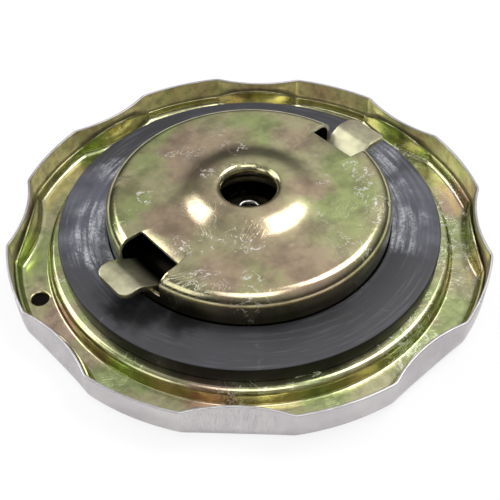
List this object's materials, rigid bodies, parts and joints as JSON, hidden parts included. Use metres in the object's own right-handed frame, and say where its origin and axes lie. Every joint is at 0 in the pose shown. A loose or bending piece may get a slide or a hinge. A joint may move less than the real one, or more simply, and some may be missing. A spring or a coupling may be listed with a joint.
{
  "type": "bayonet fuel filler cap",
  "caption": "Pressed-steel bayonet fuel filler cap with a scalloped grip rim, flat sealing gasket, locking tangs on a sprung strap and a vent valve inside its cup.",
  "frame": {"origin": "on the cap's axis, at the outer face of the cover", "axes": "+Z runs along the axis from the outer face into the tank; the two locking tangs point along -X and +X"},
  "size_m": [0.1082, 0.1082, 0.0185],
  "materials": {
    "cover_steel": "satin zinc plate, lightly scratched",
    "yellow_zinc": "yellow passivated zinc with green and pink cast",
    "strap_zinc": "worn yellow zinc",
    "black_rubber": "matt, scuffed and dusty",
    "spring_steel": "dull drawn wire",
    "valve_metal": "bright zinc plate"
  },
  "bodies": {
    "shell": {"outer_cover": "cover_steel", "inner_plate": "yellow_zinc", "cup": "yellow_zinc", "sealing_gasket": "black_rubber", "valve_cage": "valve_metal", "strap_spring": "spring_steel", "valve_spring": "spring_steel"},
    "strap": {"locking_strap": "strap_zinc"},
    "valve": {"valve_seal": "black_rubber", "valve_disc": "valve_metal"}
  },
  "joints": [
    {"name": "strap_slide", "type": "slide", "parent": "shell", "child": "strap", "axis": [0, 0, 1], "range_m": [0, 0.001], "stiffness_N_per_m": 3000, "springref_m": -0.003, "deforming": ["strap_spring"]},
    {"name": "valve_slide", "type": "slide", "parent": "shell", "child": "valve", "axis": [0, 0, 1], "range_m": [0, 0.0012], "stiffness_N_per_m": 60, "springref_m": -0.002, "deforming": ["valve_spring"]}
  ]
}
